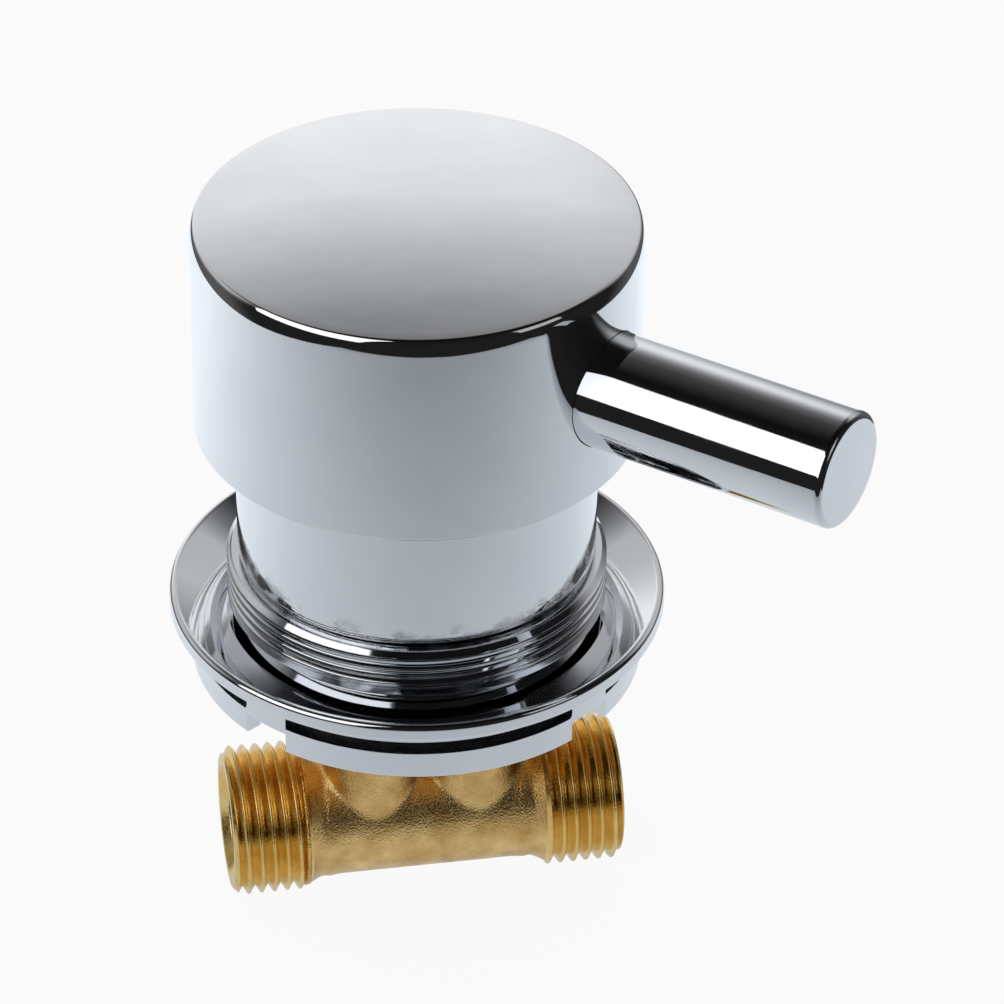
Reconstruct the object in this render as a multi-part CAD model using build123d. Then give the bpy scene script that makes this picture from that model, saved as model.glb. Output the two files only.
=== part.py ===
from build123d import *
import os
from math import degrees, radians, sin

# Single-lever shower mixer valve for fixing through a panel.
# Z = 0 is the panel's face, +Z runs up the handle's axis, the inlet tube lies along X.

# Inlet tube of the brass body, pipe thread G1/2 at both ends
pipe_thread_diameter = 20.955
pipe_thread_length = 10.0
pipe_thread_chamfer = 1.1
tube_length = 55.0
tube_diameter = 17.8
tube_flare = 5.5
flare_radius = 12.0
tube_bore = 14.0
tube_mouth = 16.3
tube_drop = 25.8
tube_forward = 3.0
tube_divider = 3.0

# Risers from the tube to the chamber, and the outlet at the back
riser_diameter = 13.0
riser_bore = 8.4
inlet_spacing = 14.4
inlet_forward = 4.5
outlet_back = 9.5
outlet_reach = 34.0
outlet_diameter = 16.8
outlet_wall = 3.0
web_thickness = 9.0
web_height = 5.5
arch_radius = 4.4

# Cartridge chamber of the body
chamber_bore = 40.4
chamber_wall = 2.4
chamber_floor = 4.0
seat_depth = 2.0
chamber_height = 16.0
shoulder_diameter = 56.0
shoulder_thickness = 2.5

# Flange ring with dished top, hub, lugs and slots; its front lug faces -Y but for a small turn
front_angle = -90.0
ring_diameter = 68.0
ring_height = 11.06
ring_edge_height = 3.0
ring_edge_round = 0.6
ring_lip_diameter = 52.3
ring_lip_height = 6.98
ring_hub_height = 3.0
ring_hub_wall = 1.9
lug_diameter = 62.0
lug_wall = 2.4
lug_count = 4
lug_gap = 13.0
lug_gap_height = 3.06
lug_turn = -6.0
slot_low = 3.86
slot_height = 1.92

# Panel gasket
gasket_thickness = 2.0
gasket_lip = 1.0
gasket_clearance = 0.2

# Threaded collar
collar_thread_diameter = 52.0
collar_thread_low = 9.04
collar_top = 16.5
collar_wall = 2.0
collar_crest_chamfer = 0.7
spigot_wall = 1.3
spigot_height = 7.0
collar_seal_height = 2.2
collar_seal_width = 1.0

# Neck sleeve
sleeve_diameter = 49.0
sleeve_wall = 2.2
sleeve_top = 38.6
sleeve_foot_round = 1.4
sleeve_lip_opening = 32.0
sleeve_lip = 2.2

# Ceramic cartridge
base_height = 7.0
disc_seal_thickness = 1.0
fixed_disc_diameter = 34.0
disc_thickness = 4.0
moving_disc_diameter = 28.0
moving_disc_thickness = 3.5
disc_pocket_depth = 2.0
disc_pocket_diameter = 14.0
port_diameter = 6.4
port_seal_section = 2.0
housing_wall = 1.7
housing_roof = 2.0
neck_height = 8.5
neck_wall = 2.1
nut_height = 4.5
nut_opening = 34.4
nut_notch = 3.0
nut_notch_count = 6
limit_ring_height = 6.5
limit_stop_height = 3.5
limit_stop_angle = 12.0

# Rotor, stem and disc drive
rotor_diameter = 24.0
rotor_flange_diameter = 31.0
rotor_flange = 1.3
rotor_rise = 6.5
rotor_tab_angle = 20.0
rotor_tab_height = 1.8
rotor_tab_reach = 2.0
glide_ring_thickness = 0.6
pivot_height = 30.6
pin_diameter = 3.0
pin_length = 22.0
stem_square = 7.0
stem_length = 16.4
stem_hub_diameter = 8.4
stem_shank_diameter = 4.4
stem_ball_diameter = 6.4
drive_arm = 7.2
carrier_plate = 2.0
carrier_boss_diameter = 12.0
lift_angle = 20.0
turn_angle = 96.0
lever_direction = -41.9

# Handle cap and lever
cap_diameter = 60.0
cap_bottom = 37.6
cap_height = 30.46
cap_edge_round = 1.15
cap_dome = 1.5
cap_wall = 3.4
cap_roof = 4.4
cap_inner_round = 3.0
hub_diameter = 17.0
hub_drop = 3.4
lever_diameter = 15.76
lever_height = 52.1
lever_reach = 65.2
lever_seat = 27.5
lever_end_round = 0.8
stud_diameter = 8.0
stud_in_lever = 12.0
stud_in_cap = 13.0
grub_diameter = 5.0
grub_key_diameter = 2.5
grub_key_depth = 2.5
plug_diameter = 6.0

# Clearances
thread_clearance = 0.1
press_clearance = 0.05
slip_clearance = 0.1
running_clearance = 0.05
loose_clearance = 0.6
disc_film = 0.02
seal_clearance = 0.1
side_clearance = 0.2
stop_clearance = 0.8

# Levels that follow from the sizes above
tube_z = -tube_drop
tube_y = -tube_forward
seat_z = -seat_depth
floor_z = seat_z - chamber_floor
chamber_top = seat_z + chamber_height
shoulder_top = ring_hub_height - gasket_thickness
chamber_outer = chamber_bore / 2 + chamber_wall
collar_inner = chamber_outer + thread_clearance
collar_relief = collar_inner + collar_wall
ring_bore = collar_relief + loose_clearance
lug_outer = lug_diameter / 2
lug_inner = lug_outer - lug_wall
base_top = seat_z + base_height
fixed_disc_low = base_top + disc_seal_thickness
fixed_disc_top = fixed_disc_low + disc_thickness
moving_disc_low = fixed_disc_top + disc_film
moving_disc_top = moving_disc_low + moving_disc_thickness
carrier_top = moving_disc_top + carrier_plate
rotor_low = carrier_top + slip_clearance
rotor_flange_top = rotor_low + rotor_flange
glide_low = rotor_flange_top + running_clearance
roof_low = glide_low + glide_ring_thickness
housing_top = roof_low + housing_roof
neck_top = housing_top + neck_height
rotor_radius = rotor_diameter / 2
rotor_top = neck_top + rotor_rise
housing_outer = chamber_bore / 2 - 3 * slip_clearance
neck_inner = rotor_radius + running_clearance
neck_outer = neck_inner + neck_wall
spigot_outer = sleeve_diameter / 2 - sleeve_wall - press_clearance
spigot_inner = spigot_outer - spigot_wall
spigot_top = collar_top + spigot_height
nut_outer = spigot_inner - thread_clearance
slide_travel = drive_arm * sin(radians(lift_angle))
boss_top = pivot_height - drive_arm + stem_ball_diameter / 3
cap_radius = cap_diameter / 2
cap_inner = cap_radius - cap_wall
cap_top = cap_bottom + cap_height
hub_low = cap_bottom + hub_drop
stem_top = pivot_height + stem_length
grub_height = (hub_low + stem_top) / 2
ports = [
    (-inlet_spacing / 2, -inlet_forward),
    (inlet_spacing / 2, -inlet_forward),
    (0, outlet_back),
]


def disc(radius, low, high, x=0, y=0):
    """Upright cylinder between two levels."""
    return Pos(x, y, low) * extrude(Circle(radius), high - low)


def washer(outer, inner, low, high):
    """Flat ring between two levels."""
    return Pos(0, 0, low) * extrude(Circle(outer) - Circle(inner), high - low)


def turned(points):
    """Solid turned about Z from radius and height points."""
    profile = Plane.XZ * make_face(Polyline(*points, close=True))
    return revolve(profile, Axis.Z)


def sector(outer, inner, low, high, start, width):
    """Part of a flat ring between two angles, in degrees from +X."""
    section = Plane.XZ * Pos((outer + inner) / 2, (low + high) / 2) * Rectangle(outer - inner, high - low)
    return Rot(0, 0, start) * revolve(section, Axis.Z, revolution_arc=width)


def along_lever(shape):
    """Turn a shape modelled with its lever along +X to the lever's direction at rest."""
    return Rot(0, 0, lever_direction) * shape


def bar_x(radius, low, high, z, y=0):
    """Round bar along X."""
    return Pos(low, y, z) * (Plane.YZ * extrude(Circle(radius), high - low))


def bar_y(radius, low, high, z, x=0):
    """Round bar along Y."""
    return Pos(x, high, z) * (Plane.XZ * extrude(Circle(radius), high - low))


def pipe_end(end, diameter):
    """Tube end along +X from the middle, with flare, thread land and chamfer."""
    thread_radius = pipe_thread_diameter / 2
    radius = diameter / 2
    land = end - pipe_thread_length
    foot = land - tube_flare
    flare = RadiusArc((foot, radius), (land, thread_radius), -flare_radius)
    run = Polyline(
        (land, thread_radius),
        (end - pipe_thread_chamfer, thread_radius),
        (end, thread_radius - pipe_thread_chamfer),
        (end, 0),
        (0, 0),
        (0, radius),
        (foot, radius),
    )
    return revolve(make_face([*flare.edges(), *run.edges()]), Axis.X)


def pipe_bore(start, end):
    """Waterway along +X with a coned mouth at the open end."""
    mouth_depth = tube_mouth / 2 - tube_bore / 2
    points = [
        (start, 0),
        (start, tube_bore / 2),
        (end - mouth_depth, tube_bore / 2),
        (end, tube_mouth / 2),
        (end, 0),
    ]
    return revolve(make_face(Polyline(*points, close=True)), Axis.X)


def make_valve_body():
    """Cast brass body: tube, risers, outlet stub, chamber and panel shoulder."""
    at_tube = Pos(0, tube_y, tube_z)
    half = tube_length / 2
    tube = at_tube * (pipe_end(half, tube_diameter) + Rot(0, 0, 180) * pipe_end(half, tube_diameter))
    outlet = at_tube * (Rot(0, 0, 90) * pipe_end(outlet_reach - tube_y, outlet_diameter))
    chamber = disc(chamber_outer, floor_z, chamber_top)
    shoulder = disc(shoulder_diameter / 2, shoulder_top - shoulder_thickness, shoulder_top)
    body = tube + outlet + chamber + shoulder
    for x, y in ports:
        body += disc(riser_diameter / 2, tube_z, floor_z + chamber_floor / 2, x, y)
    web_low = floor_z - web_height
    web = Pos(0, -inlet_forward, floor_z - web_height / 2) * Box(inlet_spacing, web_thickness, web_height)
    arch = bar_y(arch_radius, -inlet_forward - web_thickness, -inlet_forward + web_thickness, web_low)
    body += web - arch
    body -= disc(chamber_bore / 2, seat_z, chamber_top)
    for x, y in ports:
        body -= disc(riser_bore / 2, tube_z, seat_z, x, y)
    inlet = pipe_bore(tube_divider / 2, half)
    body -= at_tube * inlet
    body -= at_tube * (Rot(0, 0, 180) * inlet)
    outlet_start = tube_y + tube_bore / 2 + outlet_wall
    body -= Pos(0, 0, tube_z) * (Rot(0, 0, 90) * pipe_bore(outlet_start, outlet_reach))
    return body


def make_flange_ring():
    """Cast ring: dished plate, outer edge, hub over the gasket, and a lug wall with slots."""
    outer = ring_diameter / 2
    edge_low = ring_height - ring_edge_height
    lip = ring_lip_diameter / 2
    hub_outer = ring_bore + ring_hub_wall
    roof = edge_low - ring_edge_round
    ring = turned(
        [
            (ring_bore, ring_hub_height),
            (hub_outer, ring_hub_height),
            (hub_outer, roof - ring_edge_round),
            (lug_inner, roof),
            (lug_inner, 0),
            (lug_outer, 0),
            (lug_outer, edge_low),
            (outer, edge_low),
            (outer, ring_height - ring_edge_round),
            (outer - ring_edge_round, ring_height),
            (lip, ring_lip_height),
            (ring_bore, ring_lip_height - (lip - ring_bore)),
        ]
    )
    pitch = 360 / lug_count
    near = lug_inner - gasket_clearance
    far = lug_outer + lug_wall
    slot_high = slot_low + slot_height
    slot_end = bar_x(slot_height / 2, near, far, slot_low + slot_height / 2)
    end_angle = degrees(slot_height / 2 / lug_outer)
    slot_width = pitch - lug_gap - 2 * end_angle
    for k in range(lug_count):
        gap_start = front_angle + lug_turn + (k + 0.5) * pitch - lug_gap / 2
        slot_start = gap_start + lug_gap + end_angle
        ring -= sector(far, near, -lug_wall, lug_gap_height, gap_start, lug_gap)
        ring -= sector(far, near, slot_low, slot_high, slot_start, slot_width)
        ring -= Rot(0, 0, slot_start) * slot_end
        ring -= Rot(0, 0, slot_start + slot_width) * slot_end
    return ring


def make_panel_gasket():
    """Rubber washer on the body's shoulder with a lip that stands inside the lug wall."""
    outer = lug_inner - gasket_clearance
    lip_top = slot_low + slot_height + gasket_clearance
    flat = washer(outer, collar_relief + gasket_clearance, shoulder_top, ring_hub_height)
    return flat + washer(outer, outer - gasket_lip, shoulder_top, lip_top)


def make_threaded_collar():
    """Turned collar: relief, thread land, ledge over the chamber and a spigot for the sleeve."""
    thread = collar_thread_diameter / 2
    ledge = chamber_top + side_clearance
    seal_top = shoulder_top + seal_clearance + collar_seal_height
    seal_outer = collar_inner + collar_seal_width
    crest_top = collar_top - collar_crest_chamfer
    return turned(
        [
            (seal_outer, shoulder_top),
            (collar_relief, shoulder_top),
            (collar_relief, collar_thread_low),
            (thread - collar_crest_chamfer, collar_thread_low),
            (thread, collar_thread_low + collar_crest_chamfer),
            (thread, crest_top),
            (thread - collar_crest_chamfer, collar_top),
            (spigot_outer, collar_top),
            (spigot_outer, spigot_top),
            (spigot_inner, spigot_top),
            (spigot_inner, ledge),
            (collar_inner, ledge),
            (collar_inner, seal_top),
            (seal_outer, seal_top),
        ]
    )


def make_collar_seal():
    """Rubber ring in the collar's foot, round the chamber."""
    section = collar_seal_width + thread_clearance - seal_clearance
    inner = chamber_outer + seal_clearance / 2
    low = shoulder_top + seal_clearance / 2
    return washer(inner + section, inner, low, low + collar_seal_height)


def make_neck_sleeve():
    """Sleeve pressed over the spigot, with a rounded foot and an inward lip at the top."""
    outer = sleeve_diameter / 2
    inner = outer - sleeve_wall
    lip = sleeve_lip_opening / 2
    shell = washer(outer, inner, collar_top, sleeve_top)
    shell += washer(inner, lip, sleeve_top - sleeve_lip, sleeve_top)
    rims = shell.edges().filter_by(GeomType.CIRCLE)
    foot = rims.group_by(Axis.Z)[0].sort_by(SortBy.RADIUS)[-1]
    crown = rims.group_by(Axis.Z)[-1].sort_by(SortBy.RADIUS)[-1]
    return fillet([foot, crown], sleeve_foot_round)


def make_cartridge_base():
    """Round plastic base with three ports and a seal groove round each, on the seat."""
    base = disc(housing_outer, seat_z, base_top)
    groove_top = seat_z + port_seal_section - seal_clearance
    for x, y in ports:
        base -= disc(port_diameter / 2, seat_z, base_top, x, y)
        groove = port_diameter / 2 + seal_clearance + port_seal_section + seal_clearance
        base -= disc(groove, seat_z, groove_top + seal_clearance, x, y)
    return base


def make_port_seals():
    """Three rubber rings between the base and the chamber's floor, one round each port."""
    inner = port_diameter / 2 + seal_clearance
    low = seat_z + seal_clearance / 2
    high = seat_z + port_seal_section - seal_clearance / 2
    rings = [Pos(x, y, 0) * washer(inner + port_seal_section, inner, low, high) for x, y in ports]
    return Compound(children=rings)


def make_disc_seal():
    """Rubber sheet under the fixed disc, with the three ports."""
    seal = disc(fixed_disc_diameter / 2, base_top, fixed_disc_low)
    for x, y in ports:
        seal -= disc(port_diameter / 2, base_top, fixed_disc_low, x, y)
    return seal


def make_fixed_disc():
    """Lower ceramic disc with two inlet ports and the outlet port."""
    plate = disc(fixed_disc_diameter / 2, fixed_disc_low, fixed_disc_top)
    for x, y in ports:
        plate -= disc(port_diameter / 2, fixed_disc_low, fixed_disc_top, x, y)
    return plate


def make_moving_disc():
    """Upper ceramic disc with the mixing pocket in its underside."""
    plate = disc(moving_disc_diameter / 2, moving_disc_low, moving_disc_top)
    pocket = disc(disc_pocket_diameter / 2, moving_disc_low, moving_disc_low + disc_pocket_depth)
    return along_lever(plate - pocket)


def make_disc_carrier():
    """Plastic carrier: plate over the moving disc and a boss with the ball's socket."""
    socket_low = pivot_height - drive_arm - stem_ball_diameter / 2 - 2 * side_clearance
    carrier = disc(moving_disc_diameter / 2, moving_disc_top, carrier_top)
    carrier += disc(carrier_boss_diameter / 2, carrier_top, boss_top)
    carrier -= disc(stem_ball_diameter / 2 + side_clearance, socket_low, boss_top)
    return along_lever(carrier)


def make_rotor():
    """Plastic rotor: flange, drum, stop tab, room for the carrier's boss and the stem's slot."""
    rotor = disc(rotor_flange_diameter / 2, rotor_low, rotor_flange_top)
    rotor += disc(rotor_radius, rotor_low, rotor_top)
    tab_low = neck_top + slip_clearance
    tab_high = tab_low + rotor_tab_height
    tab_outer = neck_outer + rotor_tab_reach
    rotor += sector(tab_outer, rotor_radius / 2, tab_low, tab_high, -rotor_tab_angle / 2, rotor_tab_angle)
    room = carrier_boss_diameter / 2 + 2 * side_clearance
    pocket = disc(room, rotor_low, boss_top + side_clearance)
    pocket += disc(room, rotor_low, boss_top + side_clearance, slide_travel)
    pocket_height = boss_top + side_clearance - rotor_low
    pocket_middle = (rotor_low + boss_top + side_clearance) / 2
    pocket += Pos(slide_travel / 2, 0, pocket_middle) * Box(slide_travel, 2 * room, pocket_height)
    rotor -= pocket
    slot_width = stem_square + 2 * side_clearance
    drum_height = rotor_top - rotor_low
    rotor -= Pos(0, 0, rotor_low + drum_height / 2) * Box(2 * room, slot_width, drum_height)
    rotor -= bar_y(pin_diameter / 2 + running_clearance, -rotor_radius, rotor_radius, pivot_height)
    return along_lever(rotor)


def make_pivot_pin():
    """Steel pin across the rotor that the stem tilts on."""
    return along_lever(bar_y(pin_diameter / 2, -pin_length / 2, pin_length / 2, pivot_height))


def make_stem():
    """Stem: ball and shank below the pivot hub, square spindle above it."""
    half = stem_square / 2
    stem = bar_y(stem_hub_diameter / 2, -half, half, pivot_height)
    stem += Pos(0, 0, pivot_height + stem_length / 2) * Box(stem_square, stem_square, stem_length)
    stem += disc(stem_shank_diameter / 2, pivot_height - drive_arm, pivot_height)
    stem += Pos(0, 0, pivot_height - drive_arm) * Sphere(stem_ball_diameter / 2)
    stem -= bar_y(pin_diameter / 2 + running_clearance, -stem_square, stem_square, pivot_height)
    return along_lever(stem)


def make_cartridge_housing():
    """Plastic shell: skirt on the base, roof over the rotor's flange and a neck round the drum."""
    inner = housing_outer - housing_wall
    return turned(
        [
            (inner, base_top),
            (housing_outer, base_top),
            (housing_outer, housing_top),
            (neck_outer, housing_top),
            (neck_outer, neck_top),
            (neck_inner, neck_top),
            (neck_inner, roof_low),
            (inner, roof_low),
        ]
    )


def make_glide_ring():
    """Low-friction washer between the rotor's flange and the housing's roof."""
    return washer(rotor_flange_diameter / 2, neck_inner, glide_low, roof_low)


def make_limit_ring():
    """Stop ring on the housing's shoulder with two stops for the rotor's tab."""
    inner = neck_outer + slip_clearance
    outer = nut_opening / 2 - slip_clearance
    high = housing_top + limit_ring_height
    ring = washer(outer, inner, housing_top, high)
    stop_top = neck_top + limit_stop_height
    half_tab = rotor_tab_angle / 2 + stop_clearance
    first = lever_direction + half_tab
    last = lever_direction - turn_angle - half_tab - limit_stop_angle
    ring += sector(outer, inner, housing_top, stop_top, first, limit_stop_angle)
    ring += sector(outer, inner, housing_top, stop_top, last, limit_stop_angle)
    return ring


def make_cartridge_nut():
    """Brass ring nut in the collar's spigot with notches for a key."""
    top = housing_top + nut_height
    nut = washer(nut_outer, nut_opening / 2, housing_top, top)
    for k in range(nut_notch_count):
        notch = Pos(nut_opening / 2, 0, top) * Box(nut_notch, nut_notch, nut_notch)
        nut -= Rot(0, 0, k * 360 / nut_notch_count) * notch
    return nut


def make_handle_cap():
    """Hollow cast cap: domed top, hub with a square socket, seat and boss for the lever."""
    rim = cap_radius - cap_edge_round
    dome_radius = (rim**2 + cap_dome**2) / (2 * cap_dome)
    outline = [
        Line((0, cap_bottom), (cap_radius, cap_bottom)),
        Line((cap_radius, cap_bottom), (cap_radius, cap_top - cap_edge_round)),
        RadiusArc((cap_radius, cap_top - cap_edge_round), (rim, cap_top), -cap_edge_round),
        RadiusArc((rim, cap_top), (0, cap_top + cap_dome), -dome_radius),
        Line((0, cap_top + cap_dome), (0, cap_bottom)),
    ]
    cap = revolve(Plane.XZ * make_face(outline), Axis.Z)
    roof = cap_top - cap_roof
    cavity = turned(
        [
            (0, cap_bottom),
            (cap_inner, cap_bottom),
            (cap_inner, roof - cap_inner_round),
            (cap_inner - cap_inner_round, roof),
            (0, roof),
        ]
    )
    cap -= cavity
    cap += disc(hub_diameter / 2, hub_low, roof + cap_roof / 2)
    cap += bar_x(hub_diameter / 2, 0, cap_radius - cap_wall / 2, lever_height)
    lever_hole = lever_diameter / 2 + slip_clearance
    cap -= bar_x(lever_hole, lever_seat, cap_radius + cap_wall, lever_height)
    stud_hole_end = lever_seat - stud_in_cap - side_clearance
    cap -= bar_x(stud_diameter / 2 + thread_clearance, stud_hole_end, lever_seat, lever_height)
    socket = stem_square + 2 * slip_clearance
    socket_top = stem_top + side_clearance
    cap -= Pos(0, 0, (cap_bottom + socket_top) / 2) * Box(socket, socket, socket_top - cap_bottom)
    cap -= bar_x(grub_diameter / 2 + thread_clearance, -hub_diameter / 2, 0, grub_height)
    cap -= bar_x(plug_diameter / 2 + press_clearance, -cap_radius, -cap_inner + cap_wall, grub_height)
    return along_lever(cap)


def make_lever_bar():
    """Round bar with a rounded end and a threaded hole for the stud."""
    bar = bar_x(lever_diameter / 2, lever_seat, lever_reach, lever_height)
    bar = fillet(bar.edges().group_by(Axis.X)[-1], lever_end_round)
    stud_hole_end = lever_seat + stud_in_lever + side_clearance
    bar -= bar_x(stud_diameter / 2 + thread_clearance, lever_seat, stud_hole_end, lever_height)
    return along_lever(bar)


def make_lever_stud():
    """Threaded stud that draws the lever onto its seat."""
    stud = bar_x(stud_diameter / 2, lever_seat - stud_in_cap, lever_seat + stud_in_lever, lever_height)
    return along_lever(stud)


def make_grub_screw():
    """Socket set screw through the hub onto the stem."""
    screw = bar_x(grub_diameter / 2, -hub_diameter / 2, -stem_square / 2, grub_height)
    key_hole = Plane.YZ * extrude(RegularPolygon(grub_key_diameter / 2, 6), grub_key_depth)
    return along_lever(screw - Pos(-hub_diameter / 2, 0, grub_height) * key_hole)


def make_index_plug():
    """Small round plug that closes the screw's hole in the cap's wall."""
    plug = bar_x(plug_diameter / 2, -cap_radius, -cap_inner, grub_height)
    round_wall = disc(cap_radius, grub_height - plug_diameter, grub_height + plug_diameter)
    return along_lever(plug & round_wall)


makers = {
    "valve_body": make_valve_body,
    "flange_ring": make_flange_ring,
    "panel_gasket": make_panel_gasket,
    "threaded_collar": make_threaded_collar,
    "collar_seal": make_collar_seal,
    "neck_sleeve": make_neck_sleeve,
    "cartridge_base": make_cartridge_base,
    "port_seals": make_port_seals,
    "disc_seal": make_disc_seal,
    "fixed_disc": make_fixed_disc,
    "moving_disc": make_moving_disc,
    "disc_carrier": make_disc_carrier,
    "rotor": make_rotor,
    "pivot_pin": make_pivot_pin,
    "stem": make_stem,
    "cartridge_housing": make_cartridge_housing,
    "glide_ring": make_glide_ring,
    "limit_ring": make_limit_ring,
    "cartridge_nut": make_cartridge_nut,
    "handle_cap": make_handle_cap,
    "lever_bar": make_lever_bar,
    "lever_stud": make_lever_stud,
    "grub_screw": make_grub_screw,
    "index_plug": make_index_plug,
}

os.makedirs("parts", exist_ok=True)
for name, make in makers.items():
    export_step(make(), f"parts/{name}.step")
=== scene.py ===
from math import acos, atan2, cos, exp, log, pi, radians, sin, tan

import bmesh
import bpy
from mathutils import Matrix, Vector


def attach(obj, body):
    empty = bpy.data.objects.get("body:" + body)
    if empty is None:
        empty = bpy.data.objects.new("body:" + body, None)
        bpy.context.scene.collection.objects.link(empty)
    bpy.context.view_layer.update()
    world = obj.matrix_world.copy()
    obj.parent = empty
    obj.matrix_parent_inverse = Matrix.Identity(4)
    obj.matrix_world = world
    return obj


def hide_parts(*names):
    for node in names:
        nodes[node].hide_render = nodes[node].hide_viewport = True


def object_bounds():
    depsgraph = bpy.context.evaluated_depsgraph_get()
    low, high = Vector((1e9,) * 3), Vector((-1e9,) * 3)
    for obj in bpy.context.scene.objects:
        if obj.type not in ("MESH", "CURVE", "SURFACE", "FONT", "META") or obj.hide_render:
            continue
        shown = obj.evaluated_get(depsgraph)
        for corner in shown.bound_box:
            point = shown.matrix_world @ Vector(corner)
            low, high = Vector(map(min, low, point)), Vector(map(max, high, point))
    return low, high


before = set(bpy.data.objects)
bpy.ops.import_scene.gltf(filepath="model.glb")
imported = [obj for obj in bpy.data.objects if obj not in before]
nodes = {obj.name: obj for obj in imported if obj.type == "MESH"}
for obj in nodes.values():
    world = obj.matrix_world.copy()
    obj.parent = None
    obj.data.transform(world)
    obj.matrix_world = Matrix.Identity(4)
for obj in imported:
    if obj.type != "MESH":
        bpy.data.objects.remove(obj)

cad_low, cad_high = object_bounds()

# Cast brass body
# One sand casting in brass: the inlet tube, three risers and the cartridge chamber in a single pour.
# Its skin keeps the grain of the sand, and its corners are as round as the pattern's fillets.

MM = 0.001
TUBE_Y = -3.0
TUBE_Z = -25.8
INLET_LAND = 17.5
OUTLET_LAND = 24.0
LAND_TOP = -15.2
SHOULDER_RADIUS = 28.0
SHOULDER_LOW = -1.5
SHOULDER_CONE = 1.7
RIM_REACH = 0.1
SAND_GRAIN = 0.9
SAND_DEPTH = 0.05
CASTING_VOXEL = 0.48
FILLET_FACTOR = 0.5
FILLET_PASSES = 3
TUBE_RADIUS = 8.9
TUBE_BORE = 7.0
FLARE_START = 14.0
FLARE_LENGTH = 2.6
FLARE_RADIUS = 10.3
FLARE_ROUND = 2.0
STUB_OVERLAP = 1.0
LATHE_STEPS = 256
WELD = 0.0001
COARSE_WELD = 0.001


def take_up(piece):
    """Make one piece the only selected and active object."""
    bpy.ops.object.select_all(action="DESELECT")
    piece.select_set(True)
    bpy.context.view_layer.objects.active = piece


def apply_modifiers(piece):
    """Apply a piece's modifiers from the first to the last."""
    take_up(piece)
    for name in [modifier.name for modifier in piece.modifiers]:
        bpy.ops.object.modifier_apply(modifier=name)


def saw_off(piece, point, direction):
    """Saw a pipe end off the casting at its thread land and close the cut."""
    take_up(piece)
    bpy.ops.object.mode_set(mode="EDIT")
    bpy.ops.mesh.select_all(action="DESELECT")
    shape = bmesh.from_edit_mesh(piece.data)
    for face in shape.faces:
        face.select = all(vertex.co.z < LAND_TOP * MM for vertex in face.verts)
    bmesh.update_edit_mesh(piece.data)
    bpy.ops.mesh.bisect(plane_co=point, plane_no=direction, use_fill=True, clear_outer=True)
    bpy.ops.object.mode_set(mode="OBJECT")


def rounded_outline(corners, segments=6, support=0.12):
    """Radius and height points of an outline whose corners carry a radius, in millimetres."""
    points = []
    count = len(corners)
    for index, (radius, height, fillet) in enumerate(corners):
        corner = Vector((radius, height))
        if fillet == 0:
            points.append(tuple(corner))
            continue
        before = (Vector(corners[index - 1][:2]) - corner).normalized()
        after = (Vector(corners[(index + 1) % count][:2]) - corner).normalized()
        half = acos(max(-1.0, min(1.0, before.dot(after)))) / 2
        reach = fillet / tan(half)
        centre = corner + (before + after).normalized() * (fillet / sin(half))
        start = corner + before * reach
        stop = corner + after * reach
        points.append(tuple(start + before * support))
        first = atan2(*(start - centre).yx)
        sweep = atan2(*(stop - centre).yx) - first
        sweep = (sweep + pi) % (2 * pi) - pi
        for step in range(segments + 1):
            angle = first + sweep * step / segments
            points.append((centre.x + fillet * cos(angle), centre.y + fillet * sin(angle)))
        points.append(tuple(stop + after * support))
    return points


def draw_outline(name, points, closed):
    """Draw an outline in the XZ plane, vertex by vertex, and stay in edit mode."""
    bpy.ops.object.select_all(action="DESELECT")
    bpy.ops.mesh.primitive_plane_add(size=MM)
    piece = bpy.context.object
    piece.name = name
    piece.data.name = name
    bpy.ops.object.mode_set(mode="EDIT")
    bpy.ops.mesh.select_all(action="SELECT")
    bpy.ops.mesh.merge(type="CENTER")
    here = Vector((0, 0, 0))
    for index, (radius, height) in enumerate([*points, points[0]] if closed else points):
        there = Vector((radius * MM, 0, height * MM))
        if index == 0:
            bpy.ops.transform.translate(value=there - here)
        else:
            bpy.ops.mesh.extrude_vertices_move(TRANSFORM_OT_translate={"value": there - here})
        here = there
    bpy.ops.mesh.select_all(action="SELECT")
    bpy.ops.mesh.remove_doubles(threshold=WELD * MM)
    return piece


def turn_on_lathe(name, corners, closed=True):
    """Turn a rounded outline about Z into a closed solid."""
    piece = draw_outline(name, rounded_outline(corners), closed)
    bpy.ops.mesh.spin(steps=LATHE_STEPS, angle=2 * pi, center=(0, 0, 0), axis=(0, 0, 1))
    bpy.ops.mesh.select_all(action="SELECT")
    bpy.ops.mesh.remove_doubles(threshold=WELD * MM)
    bpy.ops.mesh.normals_make_consistent(inside=False)
    bpy.ops.object.mode_set(mode="OBJECT")
    return piece


def set_place(piece, turn, place):
    """Turn a finished piece about the origin, move it to its place, and leave its object unturned."""
    take_up(piece)
    piece.rotation_euler = turn
    piece.location = Vector(place) * MM
    bpy.ops.object.transform_apply(location=True, rotation=True, scale=True)


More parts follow.
